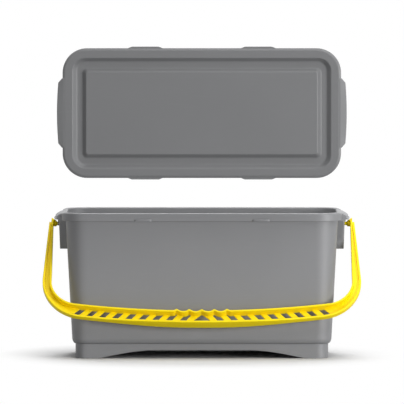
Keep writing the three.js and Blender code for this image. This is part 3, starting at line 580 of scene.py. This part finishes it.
# The lid's plate in one skin: a profile of half length, half depth, corner radius and height, from the middle
# of the raised panel over the channel and border, round the edge, back past the locating rib underneath
def lidGrid(d):
    halfLength = tub["length"] / 2 + tub["overhang"] - d["endIn"]
    halfDepth = tub["depth"] / 2 + tub["overhang"] - d["sideIn"]
    border = (halfLength, halfDepth, d["corner"])
    outer = (halfLength - d["border"], halfDepth - d["border"], d["channelCorner"])
    floor = (outer[0] - d["wallRunEnd"], outer[1] - d["wallRunSide"], d["floorCorner"])
    panelFoot = (floor[0] - d["floorEnd"], floor[1] - d["floorSide"], d["panelFootCorner"])
    panel = (panelFoot[0] - d["panelRunEnd"], panelFoot[1] - d["panelRunSide"], d["panelCorner"])
    beforeEdge = tuple(size - d["edgeRun"] for size in border)
    underEdge = tuple(size - d["edgeUnder"] for size in border)
    inPanel = (panel[0] - d["panelLap"], panel[1] - d["panelLap"], d["panelCorner"])
    ribIn = tub["wall"] + d["ribClearance"]
    ribOut = (tub["length"] / 2 - ribIn, tub["depth"] / 2 - ribIn, tub["corner"] - ribIn)
    ribInside = tuple(size - d["ribWall"] for size in ribOut)
    top, low = d["thickness"], d["thickness"] - d["channelDepth"]
    panelTop = low + d["panelRise"]
    corners = [
        (*inPanel, panelTop, 0), (*panel, panelTop, 1.7), (*panelFoot, low, 2.6), (*floor, low, 3.2),
        (*outer, top, 2.2), (*beforeEdge, top, 2.4), (*border, d["edge"], 0.15),
        (*border, d["edgeFoot"], 0.1), (*underEdge, 0, 0.4), (*ribOut, 0, 0.6),
        (*ribOut, -d["ribHeight"], 0.6), (*ribInside, -d["ribHeight"], 0.6), (*ribInside, 0, 0.6),
        (*outer, 0, 2.0), (*floor, low - top, 3.0), (*panelFoot, low - top, 2.4),
        (*panel, panelTop - top, 1.5), (*inPanel, panelTop - top, 0),
    ]
    rows = easedPath([corner[:4] for corner in corners], [corner[4] for corner in corners], steps=5)
    ends = endShares(d["tabWidth"] / 2 / (halfDepth - d["corner"]), 4, 20)
    grid = roundedLoops(rows, np.linspace(-straightEnd, straightEnd, 40), ends)
    x, y, z = grid[..., 0], grid[..., 1], grid[..., 2]
    lowered = np.minimum(z, top - slopeFall(x, y, tub["tabWidth"]) - d["underTab"])
    grid[..., 2] = np.where(underSlope(x, y, d["tabWidth"]), lowered, z)
    return grid


# One sloping end of the lid: the outline lies on the slope of the rim's tab and ends in a rounded edge.
# Towards both sides the end is cut off slantwise, and the points drawn in by the cut move up the slope
def lidTabGrid(d):
    reach = tabReach - d["tabShort"]
    bow = tub["tabBow"] * (reach - slopeStart) / (tub["tabRun"] - tub["tabShoulder"])
    fall = slopeFall(reach, 0, tub["tabWidth"])
    top = d["thickness"]
    root = slopeStart - d["tabRoot"]
    outline = [
        (root, 0.2, 0), (root, top - 1.4, 0), (slopeStart - 0.3, top - 0.03, 2.6),
        (reach, top - fall, 1.5), (reach, -fall, 0.5), (slopeStart, 0, 0.5),
    ]
    path = easedPath([corner[:2] for corner in outline], [corner[2] for corner in outline], steps=5)
    follows = np.clip((path[:, 0] - slopeStart) / (reach - slopeStart), 0, 1)
    sinks = np.where(path[:, 1] > -slopeFall(path[:, 0], 0, tub["tabWidth"]) + 0.5 * top, 1.0, 0.0)
    cutFrom = d["tabWidth"] / 2 - d["tabSlant"]
    grid = bowedGrid(path, follows, d["tabWidth"], bow, d["tabRound"], sinks, (-cutFrom, cutFrom))
    x, y = grid[..., 0], grid[..., 1]
    drawn = x - d["tabSlantDraw"] * np.clip((np.abs(y) - cutFrom) / d["tabSlant"], 0, 1) * follows
    rise = slopeFall(x, y, tub["tabWidth"]) - slopeFall(drawn, y, tub["tabWidth"])
    return np.stack([drawn, y, grid[..., 2] + rise], axis=-1)


# One tongue: a rounded section over the lid's edge that falls back to it at both ends, and a skirt below it
def tongueGrids(d, side, front):
    halfDepth = tub["depth"] / 2 + tub["overhang"] - d["sideIn"]
    inside = tub["depth"] / 2 + tub["overhang"] + d["tongueGap"]
    outside = inside + d["tongueWall"]
    half = d["tongueLength"] / 2
    middle = side * d["tongueSpacing"] / 2
    ease = np.linspace(0, 1, 9)
    places = np.concatenate([-half + d["tongueEase"] * ease, half - d["tongueEase"] * ease[::-1]])
    growth = ease ** 2 * (3 - 2 * ease)
    start = halfDepth - d["tongueUnder"]
    reach = start + (outside - start) * np.concatenate([growth, growth[::-1]])
    root = halfDepth - d["tongueRoot"]
    shoulder = d["tongueRise"]
    top = []
    for place, out in zip(places, reach):
        sides = [(root, 0.05), (root, shoulder), (out, shoulder), (out, 0.05)]
        section = easedPath(sides, [0, 0, 0.3, 0.1], steps=4)
        section = np.concatenate([section, [[out - 0.3, 0.02]]])
        top.append(np.column_stack([
            np.full(len(section), middle + place), front * section[:, 0], section[:, 1]]))
    skirt = []
    length = half - d["tongueEase"]
    foot = -d["tongueDrop"]
    for height, shrink in ((shoulder - 0.15, 0), (foot + 0.8, 0), (foot + 0.2, 0.2), (foot, 0.5)):
        outline = easedPath(
            [(-length + shrink, inside + shrink), (length - shrink, inside + shrink),
             (length - shrink, outside - shrink), (-length + shrink, outside - shrink)],
            [0.3, 0.3, 0.3, 0.3], steps=3, closed=True, guard=0.1)
        skirt.append(np.column_stack([
            outline[:, 0] + middle, front * outline[:, 1], np.full(len(outline), height)]))
    return [np.array(top), np.array(skirt)]


lidLook = ("lid", "lid_grey", "lid", "lid")
makePiece("lidPlate", [standLid(lidGrid(lid))], *lidLook)
makePiece("lidTabs", [standLid(grid) for grid in mirrored([lidTabGrid(lid)])], *lidLook)
tongues = [standLid(grid) for side in (-1, 1) for front in (-1, 1) for grid in tongueGrids(lid, side, front)]
makePiece("lidTongues", tongues, *lidLook)

# Millimetres, and the lean in degrees. Drops are from the pivot axis, in the handle's own plane
handle = {
    "lean": 36.684, "armInner": tabReach + tub["tabLip"] + 1.4,
    "armSpread": 2.2, "armTop": 7.8, "armCorner": 16.5,
    "flange": 3.9, "edge": 0.9, "webSideEdge": 0.45, "depth": 20, "outerDepth": 10.5, "palm": 90,
    "palmEase": 160, "web": 2.6, "webBack": 4.3, "webCover": 0.3, "backShort": 3.6, "gripEnd": 255,
    "gripEase": 25,
    "outerDrop": 229.9, "gripWidth": 27.0, "outerRadius": 1670, "innerRadius": 1820,
    "outerCorner": 81, "innerCorner": 52,
    "notchCount": 4, "notchPitch": 23.6, "notchDepth": 5, "notchCrest": 3.4, "notchFall": 5,
    "notchSoft": 1.6, "fineWithin": 70,
    "slotFirst": 47.1, "slotPitch": 25.6, "slotLoss": 0.33, "bar": 11.5, "slotLean": 13,
    "railLow": 3.4, "wedgeTop": 3, "slots": 9,
    "pin": 3.4, "collar": 5.7, "collarLength": 5.1, "collarEase": 1.5, "headLength": 4.4, "catch": 1,
    "clearance": 0.5, "play": 0.5, "gusset": 11, "gussetIn": 4.2, "gussetEdge": 0.5,
}


# From the handle's own plane of across, drop and forward to the bucket's axes, leaning forward to rest
def hang(grid, h):
    lean = math.radians(h["lean"])
    x, drop, forward = grid[..., 0], grid[..., 1], grid[..., 2]
    return np.stack([
        x,
        -forward * math.cos(lean) - drop * math.sin(lean),
        pivotLevel / milli + forward * math.sin(lean) - drop * math.cos(lean),
    ], axis=-1)


# How far the inner edge stands above its plain arc: between the middles of two crests a parabola that dips to
# the valley, past the last crest a straight fall, all softened by a running mean over a few millimetres
def notchRise(x, h):
    end = h["notchCount"] * h["notchPitch"] / 2
    offsets = np.linspace(-h["notchSoft"], h["notchSoft"], 9)
    place = np.abs(x[:, None] + offsets)
    share = (place / h["notchPitch"]) % 1
    wave = h["notchCrest"] - h["notchDepth"] * (1 - (2 * share - 1) ** 2)
    fall = h["notchCrest"] * np.clip(1 - (place - end) / h["notchFall"], 0, 1)
    return np.where(place <= end, wave, fall).mean(1)


# One half of an edge of the handle, from the arm's top to the middle of the grip, as points and the
# directions facing away from the hand gap: a straight arm, a round corner that touches both, and the grip's
# long arc
def edgeHalf(top, corner, drop, gripRadius, cornerRadius, fineWithin):
    cornerDrop = drop - corner ** 2 / (2 * gripRadius) - cornerRadius
    tilt = math.atan((corner - top) / cornerDrop)
    normal = np.array([math.cos(tilt), -math.sin(tilt)])
    direction = np.array([math.sin(tilt), math.cos(tilt)])
    start = np.array([top, 0.0])
    gripCentre = np.array([0.0, drop - gripRadius])
    offset = start - cornerRadius * normal - gripCentre
    along = offset @ direction
    travel = -along + math.sqrt(along ** 2 - offset @ offset + (gripRadius - cornerRadius) ** 2)
    cornerCentre = start - cornerRadius * normal + direction * travel
    toCorner = cornerCentre - gripCentre
    armAngle = -tilt
    gripAngle = math.atan2(toCorner[1], toCorner[0])
    armPoints = start + direction * np.linspace(0, travel, 24)[:-1, None]
    turns = np.linspace(armAngle, gripAngle, 30)
    turned = np.stack([np.cos(turns), np.sin(turns)], axis=1)
    last = cornerCentre[0] + cornerRadius * math.cos(gripAngle)
    places = np.concatenate([np.linspace(last, fineWithin, 40)[1:], np.linspace(fineWithin, 0, 111)[1:]])
    gripTurns = np.arccos(places / gripRadius)
    gripNormals = np.stack([np.cos(gripTurns), np.sin(gripTurns)], axis=1)
    cornerPoints = cornerCentre + cornerRadius * turned
    points = np.concatenate([armPoints, cornerPoints, gripCentre + gripRadius * gripNormals])
    normals = np.concatenate([np.tile(normal, (len(armPoints), 1)), turned, gripNormals])
    return points, normals


# The outside of the outer flange: wider at the corner than at the arm's top
def outerEdge(h):
    corner = h["armInner"] + h["armSpread"] + h["armCorner"]
    top = h["armInner"] + h["armTop"]
    return edgeHalf(top, corner, h["outerDrop"], h["outerRadius"], h["outerCorner"], h["fineWithin"])


# The inside of the inner flange, lifted by the notches along the grip
def innerEdge(h):
    drop = h["outerDrop"] - h["gripWidth"]
    corner = h["armInner"] + h["armSpread"]
    points, normals = edgeHalf(
        h["armInner"], corner, drop, h["innerRadius"], h["innerCorner"], h["fineWithin"])
    onGrip = points[:, 1] > drop / 2
    points[:, 1] -= np.where(onGrip, notchRise(points[:, 0], h), 0)
    return points, normals


# An edge and its mirror image, from one arm's top round to the other's
def fullEdge(edge):
    points, normals = edge
    flip = np.array([-1, 1])
    return np.concatenate([points, points[-2::-1] * flip]), np.concatenate([normals, normals[-2::-1] * flip])


# A flange along an edge: a rounded rectangle of the flange's thickness, carried along the edge on its web
# side. How far it reaches forward and back may change with the place across the handle
def flangeGrid(edge, towardWeb, reaches, h):
    points, normals = fullEdge(edge)
    front, back = (reach(np.abs(points[:, 0]), h) for reach in reaches)
    half, middle = (front + back) / 2, (front - back) / 2
    turn = np.linspace(0, np.pi / 2, 5)
    # Each corner of the section is given by how far in it lies from the edge, and how far short of the reach
    outerIn = h["edge"] * (1 - np.sin(turn))
    outerShort = h["edge"] * (1 - np.cos(turn))
    innerIn = h["flange"] - h["webSideEdge"] * (1 - np.sin(turn))
    innerShort = h["webSideEdge"] * (1 - np.cos(turn))
    inward = np.concatenate([outerIn[::-1], innerIn, innerIn[::-1], outerIn])
    short = np.concatenate([outerShort[::-1], innerShort, innerShort[::-1], outerShort])
    side = np.repeat([1, -1], 2 * len(turn))
    at = points[:, None] + towardWeb * inward[None, :, None] * normals[:, None]
    forward = middle[:, None] + side[None, :] * (half[:, None] - short[None, :])
    return np.concatenate([at, forward[..., None]], axis=-1)


# Half the depth of the outer flange: the full depth at the palm, easing to the lesser depth of the arms
def outerReach(x, h):
    share = np.clip((x - h["palm"] / 2) / h["palmEase"], 0, 1)
    share = share ** 2 * (3 - 2 * share)
    return (h["depth"] + (h["outerDepth"] - h["depth"]) * share) / 2


# Half the depth of the inner flange, the same all along
def innerReach(x, h):
    return h["depth"] / 2 + 0 * x


# One along the grip, falling to nothing round the corner
def gripShare(x, h):
    return 1 - np.clip((x - h["gripEnd"]) / h["gripEase"], 0, 1)


# How far the inner flange reaches back: half its depth, less the shortening along the grip
def innerBackReach(x, h):
    return h["depth"] / 2 - h["backShort"] * gripShare(x, h)


# How far the web lies behind the middle of the flanges: as far as the outer flange covers it, up to the full
# set back, and less and less round the corner, until on the arms it lies in the middle
def webBack(x, h):
    covered = np.minimum(h["webBack"], outerReach(x, h) - h["web"] / 2 - h["webCover"])
    return covered * gripShare(x, h)


# A stretch of the web between two rows of points in the handle's plane, as thick as the web, with both rows
# given from one end of the stretch to the other
def webGrid(low, high, h):
    half = h["web"] / 2
    corners = [(low, -half), (high, -half), (high, half), (low, half)]
    return np.stack([
        np.column_stack([row, forward - webBack(np.abs(row[:, 0]), h)]) for row, forward in corners], axis=1)


# The drop of a curve at a place across the handle, on its lower part, from the widest point inwards
def dropAt(x, curve):
    widest = int(np.argmax(curve[:, 0]))
    return np.interp(x, curve[widest:, 0][::-1], curve[widest:, 1][::-1])


# The web of one half: the solid sheet of arm and corner, a rail along the outer flange of the grip, and a
# leaning bar between each two slots, each bar a ruled patch between the middles of the two flanges
def webGrids(h):
    outer, outerNormals = outerEdge(h)
    inner, innerNormals = innerEdge(h)
    low = outer - outerNormals * h["flange"] / 2
    high = inner + innerNormals * h["flange"] / 2
    share = np.linspace(0, 1, 12)[:, None]

    slotHeight = h["gripWidth"] - 2 * h["flange"] - h["railLow"]
    pastLow = (h["flange"] / 2 + h["railLow"]) / slotHeight
    pastHigh = h["flange"] / 2 / slotHeight

    def run(low, high):
        return low + (low - high) * pastLow, high - (low - high) * pastHigh

    def patch(start, end):
        lowX = (start[0] + (end[0] - start[0]) * share)[:, 0]
        highX = (start[1] + (end[1] - start[1]) * share)[:, 0]
        return webGrid(
            np.column_stack([lowX, dropAt(lowX, low)]), np.column_stack([highX, dropAt(highX, high)]), h)

    place, pitch, edges = h["slotFirst"], h["slotPitch"], [h["slotFirst"] - h["slotPitch"]]
    for number in range(h["slots"]):
        edges += [place - (pitch - h["bar"]), place]
        place += pitch
        pitch -= h["slotLoss"]
    tops = [h["wedgeTop"] / 2] + [edge - h["slotLean"] for edge in edges[1:]]
    sides = [run(*side) for side in zip(edges, tops)]
    past = (low[:, 0] > sides[-1][0] + 1) & (high[:, 0] > sides[-1][1] + 1)
    sheetEnd = int(np.nonzero(past)[0][-1])
    sides.append((low[sheetEnd, 0], high[sheetEnd, 0]))
    grids = [webGrid(low[:sheetEnd + 1], high[:sheetEnd + 1], h)]
    grids += [patch(sides[k], sides[k + 1]) for k in range(0, len(sides), 2)]
    x = np.linspace(sides[-1][0], 0, 80)
    lowRail = np.column_stack([x, dropAt(x, low)])
    grids.append(webGrid(lowRail, lowRail - (0, h["flange"] / 2 + h["railLow"]), h))
    return grids


# A shape turned about the pivot axis, from rows of radius and place along the axis
def turnedGrid(profile, count=48):
    angle = np.linspace(0, 2 * np.pi, count + 1)[:-1]
    radius, place = np.array(profile, float).T[:, :, None]
    return np.stack([place + 0 * angle * radius, -radius * np.sin(angle), radius * np.cos(angle)], axis=-1)


# Collar, neck and snap head of one pin in the handle's plane, and the half cone that carries the collar
def pinGrids(h):
    collarEnd = h["armInner"] - h["collarLength"]
    root = h["armInner"] + h["armTop"] / 2
    headOuter = tub["length"] / 2 + tub["housingProud"] - tub["housingWall"] - h["play"]
    head = h["pin"] + h["clearance"] + h["catch"]
    headEnd = headOuter - h["headLength"]
    corners = [
        (pole, root, 0), (h["collar"], root, 0.3), (h["collar"], collarEnd, 0.5),
        (h["pin"], collarEnd - h["collarEase"], 0.4), (h["pin"], headOuter, 0.2), (head, headOuter, 0.3),
        (h["pin"], headEnd, 0.4), (pole, headEnd, 0),
    ]
    pin = easedPath([corner[:2] for corner in corners], [corner[2] for corner in corners], steps=3)
    face = h["armInner"] + h["armTop"] - h["gussetIn"]
    tip = collarEnd + pole
    half = np.linspace(0, np.pi, 33)
    rows = [
        (pole, face), (h["gusset"] - h["gussetEdge"], face), (h["gusset"], face - h["gussetEdge"]),
        (h["collar"], tip), (pole, tip),
    ]
    cone = []
    for radius, place in rows:
        cone.append(np.column_stack([
            np.full(len(half), place), -radius * np.sin(half), radius * np.cos(half)]))
    return [turnedGrid(pin), np.array(cone)]


handleLook = ("handle", "handle_yellow", "handle", "carrying_handle")
flanges = [
    flangeGrid(outerEdge(handle), -1, (outerReach, outerReach), handle),
    flangeGrid(innerEdge(handle), 1, (innerReach, innerBackReach), handle),
]
makePiece("handleFlanges", [hang(grid, handle) for grid in flanges], *handleLook)
makePiece("handleWeb", [hang(grid, handle) for grid in mirrored(webGrids(handle))], *handleLook)
makePiece("handlePins", [hang(grid, handle) for grid in mirrored(pinGrids(handle))], *handleLook)

stage = {
    "side": 3.0,            # metres, half the floor's side
    "color": 0.33,          # for the light that the floor throws back on the object
    "seenColor": 0.78,
    "fadeFrom": 0.25,       # metres from the middle, from where the floor turns to plain white
    "fadeTo": 0.40,
    "ambient": 0.03,
}


# One where a ray is the camera's own, or meets the background in gloss or through something clear
def seenAsBackground(tree):
    camera = tree.add("ShaderNodeLightPath", output=0)
    glossy = tree.add("ShaderNodeLightPath", output=3)
    through = tree.add("ShaderNodeLightPath", output=6)
    return (camera + glossy + through).clamped()


# The floor keeps the object's shadow near its feet and, seen by the camera, fades to plain white further out
def makeStage(s):
    side = s["side"]
    mesh = bpy.data.meshes.new("floor")
    corners = [(-side, -side), (side, -side), (side, side), (-side, side)]
    mesh.from_pydata([(x, y, floorLevel) for x, y in corners], [], [(0, 1, 2, 3)])
    floor = bpy.data.objects.new("floor", mesh)
    bpy.context.scene.collection.objects.link(floor)
    floor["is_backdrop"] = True
    material = bpy.data.materials.new("floorWhite")
    tree = Tree(material)
    seen = seenAsBackground(tree)
    place = tree.add("ShaderNodeTexCoord", output=3)
    reach = tree.add("ShaderNodeVectorMath", {"operation": "MULTIPLY"}, [place, (1.0, 1.0, 0.0)])
    distance = tree.add("ShaderNodeVectorMath", {"operation": "LENGTH"}, [reach], output=1)
    far = ((distance - s["fadeFrom"]) / (s["fadeTo"] - s["fadeFrom"])).clamped()
    tint = s["color"] + seen * (s["seenColor"] - s["color"])
    paint = tree.add("ShaderNodeCombineColor", inputs=[tint, tint, tint])
    diffuse = tree.add("ShaderNodeBsdfDiffuse", inputs={"Color": paint})
    white = tree.add("ShaderNodeEmission", inputs={"Color": (1, 1, 1, 1), "Strength": 1.0})
    both = tree.add("ShaderNodeMixShader", inputs=[far * seen, diffuse, white])
    tree.add("ShaderNodeOutputMaterial", inputs={"Surface": both})
    mesh.materials.append(material)
    world = bpy.data.worlds.new("studio")
    bpy.context.scene.world = world
    air = Tree(world)
    seen = seenAsBackground(air)
    level = s["ambient"] + seen * (1.0 - s["ambient"])
    sky = air.add("ShaderNodeBackground", inputs={"Color": (1, 1, 1, 1), "Strength": level})
    air.add("ShaderNodeOutputWorld", inputs={"Surface": sky})


makeStage(stage)

lamps = {
    "above": {"toward": (0.0, 0.0, 1.0), "size": 2.2, "distance": 3.0, "level": 0.60},
    "aboveBack": {"toward": (0.0, 0.6, 0.8), "size": 1.8, "distance": 3.0, "level": 0.54},
    "aboveFront": {"toward": (0.30, -0.56, 0.77), "size": 2.0, "distance": 3.0, "level": 0.50},
    "right": {"toward": (0.78, -0.625, 0.03), "size": 1.2, "distance": 3.5, "level": 0.77},
    "left": {"toward": (-0.5, -0.87, 0.03), "size": 1.2, "distance": 3.5, "level": 0.18},
}


# A round lamp whose level is how brightly it lights a white surface that faces it at the object's middle
def makeLamp(name, lamp):
    data = bpy.data.lights.new(name, "AREA")
    data.shape = "DISK"
    data.size = lamp["size"]
    way = np.array(lamp["toward"])
    way = way / np.linalg.norm(way)
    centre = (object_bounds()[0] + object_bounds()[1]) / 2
    data.energy = lamp["level"] * math.pi * math.pi * lamp["distance"] ** 2
    obj = bpy.data.objects.new(name, data)
    bpy.context.scene.collection.objects.link(obj)
    obj.location = np.array(centre) + way * lamp["distance"]
    obj.rotation_euler = Vector(-way).to_track_quat("-Z", "Y").to_euler()


for name, lamp in lamps.items():
    makeLamp(name, lamp)

bpy.context.scene.view_settings.view_transform = "Standard"
print("stage and lamps made")
